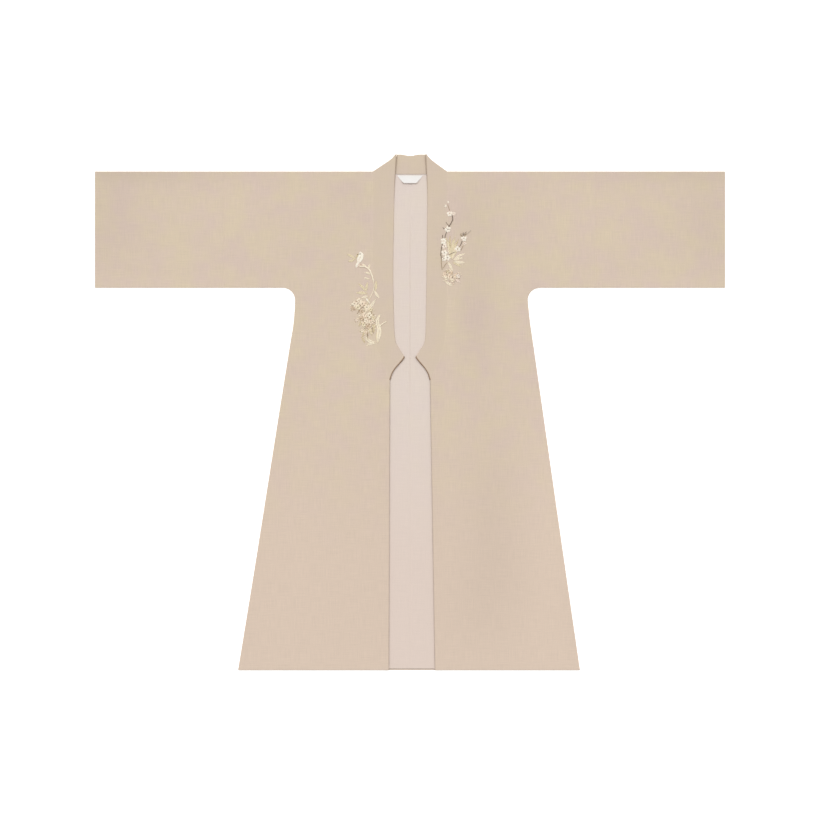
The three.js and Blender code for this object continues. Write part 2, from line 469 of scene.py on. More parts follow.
# painted shade along the free front edges and above the hem, and a painted highlight beside the collar seam
def frontPaintedShading(half, out, y):
    inner = out - frontIn(half, y)
    hem = paintedShadeLine(y - robe["hemY"], body["hemLine"])
    if y < bandEndY:
        return hem * paintedShadeLine(inner, body["edgeLine"])
    return hem + collar["seamGleam"] * (1 - smoothStep(inner, *collar["seamGleamReach"]))


def backZ(half, out, y):
    inside = insideBy(half, out, y)
    fade = smoothStep(inside, 0, body["foldFade"]) * smoothStep(out, 0, body["foldFade"])
    fade *= smoothStep(robe["sleeveSeam"] - out, 0, body["foldFade"])
    z = abs(foldRise(backFolds, halves[half] * out, y)) * fade
    z += body["seamDrop"] * (1 - rounded(out, body["edgeRound"]))
    z += body["seamDrop"] * (1 - rounded(robe["sleeveSeam"] - out, body["edgeRound"]))
    if out < robe["neckHalf"]:
        return z
    return lerp(layerTop(out, y) / 2, z, rounded(inside, robe["foldRadius"]))


def sideRows(half, step, inset=0):
    # (y, out) down the outer edge, round the underarm and on to the hem
    radius = robe["underarmRadius"]
    rows = []
    for i in range(robe["underarmSteps"] + 1):
        turn = math.pi / 2 * i / robe["underarmSteps"]
        out = armStart(half) - radius * math.sin(turn) - inset
        rows.append((robe["underarmY"] - radius * (1 - math.cos(turn)), out))
    for y in spaced(filletY, robe["hemY"] + inset, step, rimAtStart=False)[1:]:
        rows.append((y, sideOut(half, y) - inset))
    return rows


def neckTop(out):
    # the back's upper edge: the shoulder fold, and the neck seam a little below it
    atNeck = 1 - smoothStep(out, robe["neckHalf"] - robe["neckDrop"], robe["neckHalf"])
    return robe["shoulderY"] - robe["neckDrop"] * atNeck


def frontLadders(half):
    side = halves[half]
    shoulderYs = spaced(robe["shoulderY"], robe["underarmY"], robe["cell"])
    count = len(spaced(frontIn(half, robe["underarmY"]), armStart(half), robe["cell"]))
    armOuts = spaced(armStart(half), robe["sleeveSeam"], robe["cell"])

    def line(outs, y):
        return [(side * out, y, frontZ(half, out, y), frontPaintedShading(half, out, y)) for out in outs]

    shoulder = [line(spacedInto(frontIn(half, y), armStart(half), count), y) for y in shoulderYs]
    lower = [line(spacedInto(frontIn(half, y), out, count), y) for y, out in sideRows(half, robe["cell"])]
    arm = [line(armOuts, y) for y in shoulderYs]
    return [(shoulder, 1), (lower, 1), (arm, 1)]


def backLadders(half, height, inset=0, neckInset=0, withArm=True, facing=-1):
    side = halves[half]
    shoulderYs = spaced(robe["shoulderY"], robe["underarmY"], robe["cell"])
    neckOut = frontIn(half, robe["shoulderY"])
    count = len(spaced(neckOut, armStart(half), robe["cell"]))

    def line(outs, y):
        points = []
        for out in outs:
            atNeck = smoothStep(out, robe["neckBlend"] * neckOut, neckOut)
            top = neckTop(out) - lerp(neckInset, inset, atNeck)
            share = (y - robe["underarmY"]) / (robe["shoulderY"] - robe["underarmY"])
            level = lerp(robe["underarmY"], top, share) if y > robe["underarmY"] else y
            # painted shade along the hem
            paintedShading = paintedShadeLine(level - robe["hemY"] - inset, body["hemLine"])
            points.append((side * out, level, height(half, out, level), paintedShading))
        return points

    neckOuts = spaced(0, neckOut, robe["cell"], rimAtEnd=False)
    shoulderOuts = spacedInto(neckOut, armStart(half) - inset, count)
    rows = sideRows(half, robe["cell"], inset)
    ladders = [
        [line(neckOuts, y) for y in shoulderYs],
        [line(neckOuts, y) for y, out in rows],
        [line(shoulderOuts, y) for y in shoulderYs],
        [line(spacedInto(neckOut, out, count), y) for y, out in rows],
    ]
    if withArm:
        armOuts = spaced(armStart(half), robe["sleeveSeam"], robe["cell"])
        ladders.append([line(armOuts, y) for y in shoulderYs])
    return [(ladder, facing) for ladder in ladders]


# shader node helpers
def addNode(tree, kind, inputs=None, **settings):
    node = tree.nodes.new(kind)
    for name, value in settings.items():
        setattr(node, name, value)
    for name, value in (inputs or {}).items():
        if isinstance(value, bpy.types.NodeSocket):
            tree.links.new(value, node.inputs[name])
        else:
            node.inputs[name].default_value = value
    return node


def mathNode(tree, operation, a, b=0.0):
    return addNode(tree, "ShaderNodeMath", {0: a, 1: b}, operation=operation).outputs[0]


def ranged(tree, value, source, target=(0.0, 1.0)):
    # a value moved from one range to another, and held inside it
    return addNode(tree, "ShaderNodeMapRange", {
        "Value": value, "From Min": source[0], "From Max": source[1],
        "To Min": target[0], "To Max": target[1]}).outputs[0]


def blended(tree, factor, first, second):
    colours = {"Factor": factor, "A": first, "B": second}
    return addNode(tree, "ShaderNodeMix", colours, data_type="RGBA").outputs["Result"]


def scaled(tree, vector, factor):
    return addNode(tree, "ShaderNodeVectorMath", {0: vector, "Scale": factor}, operation="SCALE").outputs[0]


def newMaterial(name):
    material = bpy.data.materials.new(name)
    material.use_nodes = True
    shader = material.node_tree.nodes["Principled BSDF"]
    return material, material.node_tree, shader


def linear(red, green, blue):
    # colours are written as they look on screen
    def channel(c):
        c /= 255
        return c / 12.92 if c <= 0.04045 else ((c + 0.055) / 1.055) ** 2.4
    return (channel(red), channel(green), channel(blue), 1)


# threads crossing over and under, with thicker slubs here and there
def makeWeaveGroup():
    group = bpy.data.node_groups.new("wovenThreads", "ShaderNodeTree")
    sockets = group.interface
    sockets.new_socket("Vector", in_out="INPUT", socket_type="NodeSocketVector")
    for name in ("Threads per metre", "Slub"):
        sockets.new_socket(name, in_out="INPUT", socket_type="NodeSocketFloat")
    for name in ("Height", "Shade"):
        sockets.new_socket(name, in_out="OUTPUT", socket_type="NodeSocketFloat")
    inside = group.nodes.new("NodeGroupInput")
    result = group.nodes.new("NodeGroupOutput")
    turns = mathNode(group, "MULTIPLY", inside.outputs["Threads per metre"], math.pi)
    split = addNode(group, "ShaderNodeSeparateXYZ", {0: inside.outputs["Vector"]})
    warp = mathNode(group, "SINE", mathNode(group, "MULTIPLY", split.outputs["X"], turns))
    weft = mathNode(group, "SINE", mathNode(group, "MULTIPLY", split.outputs["Y"], turns))
    crossing = mathNode(group, "MULTIPLY", warp, weft)
    slubs = []
    for scale in ((700, 26, 1), (26, 700, 1)):
        stretched = addNode(group, "ShaderNodeVectorMath",
                            {0: inside.outputs["Vector"], 1: scale}, operation="MULTIPLY")
        streak = addNode(group, "ShaderNodeTexNoise",
                         {"Vector": stretched.outputs[0], "Scale": 1.0, "Detail": 2.0, "Roughness": 0.6})
        slubs.append(streak.outputs["Fac"])
    both = mathNode(group, "MULTIPLY", mathNode(group, "ADD", slubs[0], slubs[1]), 0.5)
    raised = mathNode(group, "MULTIPLY", both, inside.outputs["Slub"])
    height = mathNode(group, "ADD", mathNode(group, "MULTIPLY", crossing, 0.5), raised)
    group.links.new(height, result.inputs["Height"])
    group.links.new(both, result.inputs["Shade"])
    return group


weaveGroup = makeWeaveGroup()

clothLooks = {
    "robeCloth": {
        "colour": linear(215.5, 195.5, 181), "warm": linear(217, 200, 175.5), "low": linear(218, 198, 180),
        "threads": 1500, "slub": 1.4, "relief": 0.22, "roughness": 0.82, "sheen": 0.12, "shade": 0.07,
    },
    "collarCloth": {
        "colour": linear(213.5, 195, 178), "warm": linear(214.5, 197, 174), "low": linear(214, 195, 176),
        "threads": 1700, "slub": 1.0, "relief": 0.2, "roughness": 0.78, "sheen": 0.12, "shade": 0.04,
    },
    "liningCloth": {
        "colour": linear(226, 211, 202), "warm": linear(226.5, 212.5, 200), "low": linear(225, 207.5, 196),
        "threads": 2300, "slub": 0.7, "relief": 0.12, "roughness": 0.62, "sheen": 0.1, "shade": 0.04,
    },
    "labelTape": {
        "colour": linear(241, 238, 235), "warm": linear(241, 238, 233), "low": linear(241, 238, 235),
        "threads": 2600, "slub": 0.3, "relief": 0.12, "roughness": 0.5, "sheen": 0.05, "shade": 0.02,
    },
}


# colour drift of the dye, and the brown hue given to painted shade
dyeAndPaintedShade = {
    "cloudScale": 16.0,
    "cloudRange": (0.35, 0.65),
    "lowRange": (0.05, -0.35),       # down this stretch of the robe the colour turns to its low one
    "deepRange": (0.9, 0.35),        # where little light comes the cloth looks browner
    "deepBrown": linear(216, 172, 134),
    "shadeRange": (0.3, 0.7),
    "roughnessSpread": 0.05,
    "reliefDepth": 0.2 * mm,
}


def makeClothMaterial(name):
    look = clothLooks[name]
    material, tree, shader = newMaterial(name)
    place = tree.nodes.new("ShaderNodeTexCoord").outputs["Object"]
    threads = {"Vector": place, "Threads per metre": look["threads"], "Slub": look["slub"]}
    weave = addNode(tree, "ShaderNodeGroup", threads, node_tree=weaveGroup).outputs
    clouds = addNode(tree, "ShaderNodeTexNoise", {
        "Vector": place, "Scale": dyeAndPaintedShade["cloudScale"], "Detail": 3.0, "Roughness": 0.55})
    drift = ranged(tree, clouds.outputs["Fac"], dyeAndPaintedShade["cloudRange"])
    tint = blended(tree, drift, look["colour"], look["warm"])
    up = addNode(tree, "ShaderNodeSeparateXYZ", {0: place}).outputs["Y"]
    graded = blended(tree, ranged(tree, up, dyeAndPaintedShade["lowRange"]), tint, look["low"])
    # painted light and shade: the colour turns browner and darker where the attribute is low, and lighter
    # where it is high
    paintedShading = addNode(tree, "ShaderNodeAttribute", attribute_name="paintedShading").outputs["Fac"]
    browned = blended(tree, ranged(tree, paintedShading, dyeAndPaintedShade["deepRange"]), graded, dyeAndPaintedShade["deepBrown"])
    uneven = ranged(tree, weave["Shade"], dyeAndPaintedShade["shadeRange"], (1 - look["shade"], 1 + look["shade"]))
    baseColour = scaled(tree, browned, mathNode(tree, "MULTIPLY", paintedShading, uneven))
    tree.links.new(baseColour, shader.inputs["Base Color"])
    spread = dyeAndPaintedShade["roughnessSpread"]
    matt = ranged(tree, weave["Shade"], dyeAndPaintedShade["shadeRange"],
                  (look["roughness"] - spread, look["roughness"] + spread))
    tree.links.new(matt, shader.inputs["Roughness"])
    bump = addNode(tree, "ShaderNodeBump", {
        "Height": weave["Height"], "Strength": look["relief"], "Distance": dyeAndPaintedShade["reliefDepth"]})
    tree.links.new(bump.outputs[0], shader.inputs["Normal"])
    shader.inputs["Sheen Weight"].default_value = look["sheen"]
    shader.inputs["Sheen Roughness"].default_value = 0.5
    shader.inputs["Specular IOR Level"].default_value = 0.25
    return material


materials = {name: makeClothMaterial(name) for name in clothLooks}


def finishPiece(piece, material, nodes):
    piece.data.materials.append(material)
    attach(piece, "root")
    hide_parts(*nodes)


# each half of the body is one length of cloth, folded over the shoulder
clothPieces = {}
for half in halves:
    name = "body" + half.capitalize()
    piece, cutArea = sheetObject(name, frontLadders(half) + backLadders(half, backZ))
    giveThickness(piece, robe["clothThick"])
    finishPiece(piece, materials["robeCloth"], ["front_" + half, "back_" + half])
    cut = (robe["sleeveSeam"], 2 * (robe["shoulderY"] - robe["hemY"]))
    clothPieces[half] = piece
print("body halves made")


# the sleeves: flat tubes, folded along the top and sewn along the bottom
def sleeveLadders(half):
    side = halves[half]
    outs = spaced(robe["sleeveSeam"], robe["cuff"], robe["cell"])
    ys = spaced(robe["shoulderY"], robe["underarmY"], robe["cell"])
    ring = robe["sleeveTop"] / 2

    def edges(out):
        seam = 1 - rounded(out - robe["sleeveSeam"], body["edgeRound"])
        return body["seamDrop"] * seam

    def upper(out, y):
        inside = min(robe["shoulderY"] - y, y - robe["underarmY"])
        rise = foldRise(sleeveFolds, side * out, y) * smoothStep(inside, 0, body["foldFade"])
        z = robe["sleeveTop"] + rise - edges(out)
        pastTurn = body["hemTurn"] - (robe["cuff"] - out)
        z += body["hemStep"] * smoothStep(pastTurn, 0, body["hemStepSlope"])
        z -= body["cuffDrop"] * (1 - rounded(robe["cuff"] - out, body["edgeRound"]))
        return (side * out, y, lerp(ring, z, rounded(inside, robe["foldRadius"])))

    def lower(out, y):
        inside = min(robe["shoulderY"] - y, y - robe["underarmY"])
        return (side * out, y, lerp(ring, edges(out), rounded(inside, robe["foldRadius"])))

    layers = ((upper, 1), (lower, -1))
    return [([[layer(out, y) for out in outs] for y in ys], facing) for layer, facing in layers]


for half in halves:
    name = "sleeve" + half.capitalize()
    piece, cutArea = sheetObject(name, sleeveLadders(half))
    giveThickness(piece, robe["clothThick"])
    finishPiece(piece, materials["robeCloth"], [f"sleeve_{half}_front", f"sleeve_{half}_back"])
    cut = (robe["cuff"] - robe["sleeveSeam"], 2 * (robe["shoulderY"] - robe["underarmY"]))
    clothPieces["sleeve " + half] = piece
print("sleeves made")


# the lining of the back, in two halves with a pressed seam between them
lining = {
    "inset": 3 * mm,
    "neckInset": 0.5 * mm,
    "thick": 0.35 * mm,
    "seamRound": 1.6 * mm,
    "seamDeep": 0.8 * mm,
    "seamShallow": 0.25 * mm,
    "seamFade": 5 * mm,
    "deepFrom": (-60 * mm, 160 * mm),    # the seam is pressed deep between these heights
    "deepTo": (380 * mm, 470 * mm),
    "hemDrop": 1.1 * mm,
}


def liningZ(half, out, y):
    rise = foldRise(liningFolds, halves[half] * out, y)
    z = robe["liningTop"] + rise * smoothStep(out, 0, lining["seamFade"])
    shareDeep = smoothStep(y, *lining["deepFrom"]) * (1 - smoothStep(y, *lining["deepTo"]))
    depth = lerp(lining["seamShallow"], lining["seamDeep"], shareDeep)
    z -= depth * (1 - rounded(out, lining["seamRound"]))
    z -= lining["hemDrop"] * (1 - rounded(y - robe["hemY"] - lining["inset"], lining["seamRound"]))
    return z


for half in halves:
    name = "lining" + half.capitalize()
    ladders = backLadders(half, liningZ, lining["inset"], lining["neckInset"], withArm=False, facing=1)
    piece, cutArea = sheetObject(name, ladders)
    giveThickness(piece, lining["thick"])
    finishPiece(piece, materials["liningCloth"], ["lining_" + half])
    cut = (sideOut(half, robe["hemY"]) - lining["inset"], robe["shoulderY"] - robe["hemY"] - lining["inset"])
    clothPieces["lining " + half] = piece
print("lining made")


# the band down one front: a doubled strip with a rounded fold and a sewn edge
def collarObject(half):
    side = halves[half]
    width, length, count = collar["width"], collar["length"], collar["rungs"]
    thick = robe["bandTop"] - robe["bandUnder"]
    mid = robe["bandUnder"] + thick / 2
    shares = [0, 0.012, 0.03, 0.06, 0.11, 0.2, 0.32, 0.45, 0.58, 0.7, 0.81, 0.89, 0.95, 0.985, 0.997, 1]
    # rungs are closer together at the fold over the shoulder and at the slanted end
    starts = [s / length for s in rimSteps]
    places = starts[:-1] + spread(starts[-1], 1 - starts[-1], count)
    places += [1 - s for s in reversed(starts[:-1])]
    endFold, endSeam = bandEdge(side, 1)
    alongEnd = (endSeam - endFold).normalized()
    outward = Vector((alongEnd.y, -alongEnd.x, 0))
    upper, lower = [], []
    for t in places:
        fold, seam = bandEdge(side, t)
        fromTop, fromEnd = t * length, (1 - t) * length
        topRow, lowRow = [], []
        for share in shares:
            sag = collar["shoulderSag"] * (1 - share) * smoothStep(share, 0, collar["sagSpread"])
            sag *= max(0, 1 - t * collar["bendShare"])
            bow = collar["endBow"] * collar["bowScale"] * share**2 * (1 - share)
            bow *= max(0, 1 - (1 - t) * collar["bendShare"])
            across = share * width
            ends = rounded(across, collar["lipRound"]) * rounded(width - across, collar["lipRound"])
            lip = collar["endLip"] * ends
            slide = outward * lip * (1 - smoothStep(fromEnd, 0, collar["endSlope"]))
            away = (fold.lerp(seam, share) + slide - endFold.lerp(endSeam, share) - outward * lip).length
            x = side * (lerp(fold.x, seam.x, share) + bow + slide.x)
            y = lerp(fold.y, seam.y, share) - sag + bow + slide.y
            lift = collar["endLift"] * smoothStep(1 - fromEnd / collar["endLiftReach"], 0, 1) ** 1.5
            nearTop = smoothStep(1 - fromTop / collar["neckLiftReach"], 0, 1)
            lift += collar["neckLift"] * (1 - share) * nearTop
            crown = collar["crown"] * 4 * share * (1 - share)
            edge = rounded(across, thick / 2) * rounded(width - across, thick * collar["seamRound"])
            edge *= rounded(fromEnd, collar["endSlope"]) * rounded(fromTop, thick * collar["topRound"])
            # painted shade along the slanted end and beside the fold near the neck, and a painted highlight
            # along the seam
            paintedShading = paintedShadeLine(away, collar["endLine"])
            paintedShading += collar["seamGleam"] * smoothStep(across, width - collar["seamGleamReach"][1], width)
            foldPaintedShade = 1 - paintedShadeLine(across, collar["foldLine"])
            paintedShading -= foldPaintedShade * (1 - smoothStep(fromTop, collar["foldLineTop"], collar["foldLineEnd"]))
            topRow.append((x, y, mid + lift + (thick / 2) * edge + crown * edge, paintedShading))
            lowRow.append((x, y, mid + lift - (thick / 2) * edge, paintedShading))
        upper.append(topRow)
        lower.append(lowRow)
    return sheetObject("collar" + half.capitalize(), [(upper, 1), (lower, -1)])


for half in halves:
    piece, cutArea = collarObject(half)
    smoothPiece(piece)
    finishPiece(piece, materials["collarCloth"], ["collar_" + half])
    clothPieces["collar " + half] = piece


# behind the neck the same band stands above the back neck seam
def collarBackObject():
    corner = {1: collar["edges"][0][1] * mm, -1: collar["edges"][0][0] * mm}
    rise = collar["backRise"]
    tip = robe["neckHalf"] - collar["backTipIn"]
    dipOut = robe["neckHalf"] - robe["neckDrop"]
    thick = robe["liningTop"]
    outs = spaced(-tip, tip, collar["backCell"])
    shares = [0, 0.008, 0.02, 0.04, 0.08, 0.16, 0.28, 0.42, 0.56, 0.7, 0.82, 0.9, 0.95, 0.975, 0.99, 1.0]

    def bounds(x):
        edge = corner[1 if x > 0 else -1]
        low = robe["shoulderY"] - robe["neckDrop"] + max(0, abs(x) - dipOut) + collar["backGap"]
        if abs(x) <= edge:
            dip = collar["topDip"] * (1 - smoothStep(abs(x), *collar["dipReach"]))
            return low, robe["shoulderY"] + rise - dip
        share = (abs(x) - edge) / (robe["neckHalf"] - edge)
        return low, robe["shoulderY"] + (rise - collar["shoulderSag"]) * (1 - share)

    upper, lower = [], []
    for x in outs:
        low, high = bounds(x)
        topRow, lowRow = [], []
        for share in shares:
            y = lerp(low, high, share)
            edge = rounded(high - y, thick / 2) * rounded(tip - abs(x), thick / 2)
            seam = rounded(y - low, thick * collar["backSeamRound"])
            crown = collar["backCrown"] * math.sin(math.pi * share) * edge
            # the bands' folds lie over this piece, and the shade they cast on it is painted
            foldOut = corner[1 if x > 0 else -1] + (robe["shoulderY"] + rise - y) * collar["foldSlope"]
            paintedShading = paintedShadeLine(max(foldOut - abs(x), 0), collar["besideLine"])
            topRow.append((x, y, thick / 2 + (thick / 2) * edge * seam + crown, paintedShading))
            lowRow.append((x, y, thick / 2 - (thick / 2) * edge * seam, paintedShading))
        upper.append(topRow)
        lower.append(lowRow)
    return sheetObject("collarBack", [(upper, 1), (lower, -1)])


piece, cutArea = collarBackObject()
smoothPiece(piece)
finishPiece(piece, materials["collarCloth"], ["collar_back"])
clothPieces["collar back"] = piece
print("collar made")


# the bare woven label, sewn down along its top and standing off a little below
label = {
    "top": 59 * mm,
    "bottom": 30 * mm,
    "topBelow": 9.5 * mm,
    "height": 18.5 * mm,
    "thick": 0.5 * mm,
    "lift": 2.2 * mm,
    "stand": 0.6 * mm,
    "ripple": 0.25 * mm,
    "ripples": 5,
    "rows": 18,
    "columns": 40,
    # reach and depth of the painted shade under the label's edges
    "edgeLine": (1.8 * mm, 0.3),
}


def labelObject():
    rows = []
    for j in range(label["rows"] + 1):
        down = j / label["rows"]
        halfWidth = lerp(label["top"], label["bottom"], down) / 2
        row = []
        for i in range(label["columns"] + 1):
            across = -1 + i / (label["columns"] / 2)
            x = halfWidth * across
            y = robe["shoulderY"] - label["topBelow"] - label["height"] * down
            z = robe["liningTop"] + label["stand"] + label["lift"] * down**1.6
            z += label["ripple"] * math.cos(across * label["ripples"]) * down
            # painted shade under the label's lifted bottom edge and along its lower sides
            paintedShading = paintedShadeLine(label["height"] * (1 - down), label["edgeLine"])
            sidePaintedShade = 1 - paintedShadeLine(halfWidth * (1 - abs(across)), label["edgeLine"])
            paintedShading -= sidePaintedShade * smoothStep(down, 0.3, 1)
            row.append((x, y, z, paintedShading))
        rows.append(row)
    return sheetObject("neckLabel", [(rows, 1)])


piece, cutArea = labelObject()
giveThickness(piece, label["thick"])
finishPiece(piece, materials["labelTape"], ["neck_label"])
cut = (label["top"], label["height"])
clothPieces["label"] = piece
print("label made")


# silk threads. One short bar and one knot are modelled, and every stitch is a copy of them.
def takeShape(made):
    shape = ([tuple(v.co) for v in made.data.vertices], [tuple(f.vertices) for f in made.data.polygons])
    bpy.data.objects.remove(made)
    return shape


def selectPoints(shape, wanted):
    for point in shape.verts:
        point.select = wanted(point.co)
    shape.select_flush_mode()


def modelThread():
    bpy.ops.object.select_all(action="DESELECT")
    bpy.ops.mesh.primitive_cylinder_add(vertices=6, radius=0.5, depth=1, rotation=(0, math.pi / 2, 0))
    thread = bpy.context.active_object
    bpy.ops.object.transform_apply(rotation=True)
    bpy.ops.object.mode_set(mode="EDIT")
    bpy.ops.mesh.select_mode(type="EDGE")
    bpy.ops.mesh.select_all(action="DESELECT")
    shape = bmesh.from_edit_mesh(thread.data)
    for edge in shape.edges:
        edge.select = edge.calc_length() > 0.9
    bmesh.update_edit_mesh(thread.data)
    bpy.ops.mesh.subdivide(number_cuts=3)
    bpy.ops.mesh.select_mode(type="VERT")
    selectPoints(bmesh.from_edit_mesh(thread.data), lambda co: abs(co.x) > 0.49)
    bpy.ops.transform.resize(value=(1, 0.5, 0.5))
    bpy.ops.object.mode_set(mode="OBJECT")
    return takeShape(thread)


def modelKnot():
    bpy.ops.mesh.primitive_uv_sphere_add(segments=8, ring_count=5, radius=0.5)
    knot = bpy.context.active_object
    bpy.ops.object.mode_set(mode="EDIT")
    bpy.ops.mesh.select_mode(type="VERT")
    selectPoints(bmesh.from_edit_mesh(knot.data), lambda co: co.z > 0.45)
    bpy.ops.transform.translate(value=(0, 0, -0.22))
    bpy.ops.object.mode_set(mode="OBJECT")
    return takeShape(knot)


threadShape = modelThread()
knotShape = modelKnot()
draws = random.Random(11)

silk = {
    "white": linear(255, 246, 229),
    "cream": linear(248, 235, 210),
    "paleYellow": linear(236, 221, 187),
    "straw": linear(226, 208, 172),
    "tan": linear(212, 188, 158),
    "peach": linear(242, 219, 194),
    "rose": linear(246, 227, 211),
    "clay": linear(196, 165, 136),
    "olive": linear(170, 148, 116),
    "bark": linear(122, 104, 90),
    "ash": linear(172, 160, 148),
    "ink": linear(64, 55, 50),
    "cloth": linear(220, 203, 186),
}
dyeSpread = (0.93, 1.05)
# a second silk now and then within a petal
partners = {
    "white": "rose", "cream": "peach", "paleYellow": "cream", "straw": "cream",
    "tan": "peach", "peach": "cream", "rose": "white",
}

grounds = [
    BVHTree.FromObject(clothPieces[name], bpy.context.evaluated_depsgraph_get())
    for name in ("left", "right", "sleeve left", "sleeve right", "collar left", "collar right", "label")
]


def topOf(x, y):
    # the height of whatever cloth is uppermost here
    hits = [tree.ray_cast(Vector((x, y, 0.1)), Vector((0, 0, -1)))[0] for tree in grounds]
    return max((hit.z for hit in hits if hit), default=robe["liningTop"])


# how much thicker leaves, stems and flowers are than their rows say, since the silk lies plump
fullness = {"leaf": 1.9, "stem": 1.5, "flower": 1.36}


def newStitches():
    return {"points": [], "faces": [], "colours": []}


def addCopy(stitches, shape, colour, placed):
    first = len(stitches["points"])
    shade = draws.uniform(*dyeSpread)
    tint = [min(c * shade, 1) for c in silk[colour][:3]] + [1]
    stitches["points"] += [placed(*co) for co in shape[0]]
    stitches["faces"] += [[first + i for i in face] for face in shape[1]]
    stitches["colours"] += tint * len(shape[0])


def onRobe(place):
    # (out, below) in millimetres, as a place in the frame
    x, y = place[0] * mm, robe["shoulderY"] - place[1] * mm
    return Vector((x, y, topOf(x, y)))


threadForm = {"squash": 0.8, "stand": 0.3}    # as shares of a thread's width


def addThread(stitches, start, end, width, colour, rise=0.25):
    a, b = onRobe(start), onRobe(end)
    along = (b - a).normalized()
    side = Vector((-along.y, along.x, 0))
    middle = topOf(*((a + b) / 2)[:2])
    hump = max(middle - (a.z + b.z) / 2, 0)

    def placed(u, v, w):
        arch = 1 - (2 * u) ** 2
        point = a.lerp(b, u + 0.5) + side * (v * width * mm)
        point.z += w * width * threadForm["squash"] * mm + width * threadForm["stand"] * mm
        point.z += rise * arch * mm + hump * arch
        return tuple(point)

    addCopy(stitches, threadShape, colour, placed)


def addKnot(stitches, place, size, colour):
    at = onRobe(place)

    def placed(x, y, z):
        return (at.x + x * size * mm, at.y + y * size * mm, at.z + (z * 0.7 + 0.3) * size * mm)

    addCopy(stitches, knotShape, colour, placed)


leafStitch = {
    "width": 0.55,
    "spacing": 0.9,
    "veinFrom": 2.1,                 # a leaf with half a width over this has a vein where two rows meet
    "slant": 0.6,
    "least": 0.3,
    "uneven": (0.94, 1.04),
    "rise": 0.2,
    "riseByWidth": 0.08,
}


def addLeaf(stitches, leaf, threadWidth=leafStitch["width"]):
    # slanting satin stitch from edge to edge
    base, tip = Vector((*leaf[0:2], 0)), Vector((*leaf[2:4], 0))
    halfWidth, bow, colour = leaf[4] * fullness["leaf"], leaf[5], leaf[6]
    axis = tip - base
    length = axis.length
    axis.normalize()
    across = Vector((-axis.y, axis.x, 0))
    count = max(4, round(length / (threadWidth * leafStitch["spacing"])))
    sides = ((-1, 0), (0, 1)) if halfWidth > leafStitch["veinFrom"] else ((-1, 1),)
    for i in range(count):
        t = (i + 0.5) / count
        spine = base + axis * (length * t) + across * (bow * 4 * t * (1 - t))
        half = max(halfWidth * math.sin(math.pi * t**0.85) ** 0.8, leafStitch["least"])
        half *= draws.uniform(*leafStitch["uneven"])
        slant = half * leafStitch["slant"]
        rise = leafStitch["rise"] + leafStitch["riseByWidth"] * half
        for low, high in sides:
            endSlant = slant * abs(high) if len(sides) > 1 else -slant
            start = spine + across * (half * low) + axis * (slant * abs(low))
            end = spine + across * (half * high) + axis * endSlant
            addThread(stitches, start, end, threadWidth, colour, rise)


stemStitch = {"steps": 200, "reach": 1.3, "width": 0.75, "spacing": 0.8, "aside": (0.1, 0.25)}


def addStem(stitches, stem):
    # overlapping slanted stitches along a smooth line
    points, width, colour = stem[0], stem[1] * fullness["stem"], stem[2]
    line = splineLine([(x, y, 0) for x, y in points], stemStitch["steps"])
    gone, due = 0.0, 0.0
    for a, b in zip(line, line[1:]):
        gone += (b - a).length
        if gone >= due:
            along = (b - a).normalized()
            aside = Vector((-along.y, along.x, 0)) * (width * draws.uniform(*stemStitch["aside"]))
            reach = along * width * stemStitch["reach"]
            thick = width * stemStitch["width"]
            addThread(stitches, a - reach - aside, a + reach + aside, thick, colour, 0.3)
            due += width * stemStitch["spacing"]


def turned(x, y, angle, reach):
    return (x + reach * math.cos(angle), y + reach * math.sin(angle))


petalForm = {
    "count": 5,
    "turnSpread": 0.12,
    "size": (0.82, 1.1),
    "fill": 0.76,                    # the share of its part of the circle that a petal takes up
    "sideShort": 0.22,               # how much shorter its side threads are
    "uneven": (0.95, 1.03),
    "start": 0.14,
    "secondSilk": 0.25,
    "largeFrom": 6.5,                # a large flower has more threads and stamens
}
stamenForm = {"start": 0.05, "end": 0.38, "width": 0.35, "knot": 0.6}


def addBlossom(stitches, blossom):
    x, y, radius, colour, heart = blossom
    radius *= fullness["flower"]
    large = radius > petalForm["largeFrom"]
    turn = draws.uniform(0, math.tau)
    threads = 4 if large else 2
    for petal in range(petalForm["count"]):
        angle = turn + math.tau * petal / petalForm["count"]
        angle += draws.uniform(-petalForm["turnSpread"], petalForm["turnSpread"])
        size = radius * draws.uniform(*petalForm["size"])
        for k in range(-threads, threads + 1):
            way = angle + k / threads * math.pi / petalForm["count"] * petalForm["fill"]
            side = petalForm["sideShort"]
            reach = size * (1 - side + side * math.cos(k / threads * math.pi / 2))
            reach *= draws.uniform(*petalForm["uneven"])
            dye = partners[colour] if draws.random() < petalForm["secondSilk"] else colour
            start, end = turned(x, y, way, size * petalForm["start"]), turned(x, y, way, reach)
            addThread(stitches, start, end, radius * 0.11 + 0.15, dye, 0.5)
    stamens = 5 if large else 2
    for k in range(stamens):
        angle = turn + math.tau * (k + 0.5) / stamens
        start = turned(x, y, angle, radius * stamenForm["start"])
        tip = turned(x, y, angle, radius * stamenForm["end"])
        addThread(stitches, start, tip, stamenForm["width"], heart, 0.9)
        addKnot(stitches, tip, stamenForm["knot"], heart)
    addKnot(stitches, (x, y), radius * 0.12 + 0.5, heart)


# short stitches round a flower that stands low in its spray, and a bud or two among them
groundForm = {
    "below": 230,
    "colours": ("olive", "clay", "tan", "straw"),
    "count": 6,
    "ring": (0.9, 1.6),
    "lean": 1.2,
    "size": (0.9, 1.7),
    "width": 0.75,
    "buds": 4,
    "budRing": (1.0, 1.5),
    "budLeans": (-0.35, 0, 0.35),
    "budReach": (0.2, 3.0),
    "budWidth": 1.1,
    "budColours": ("cream", "peach", "cream"),
}


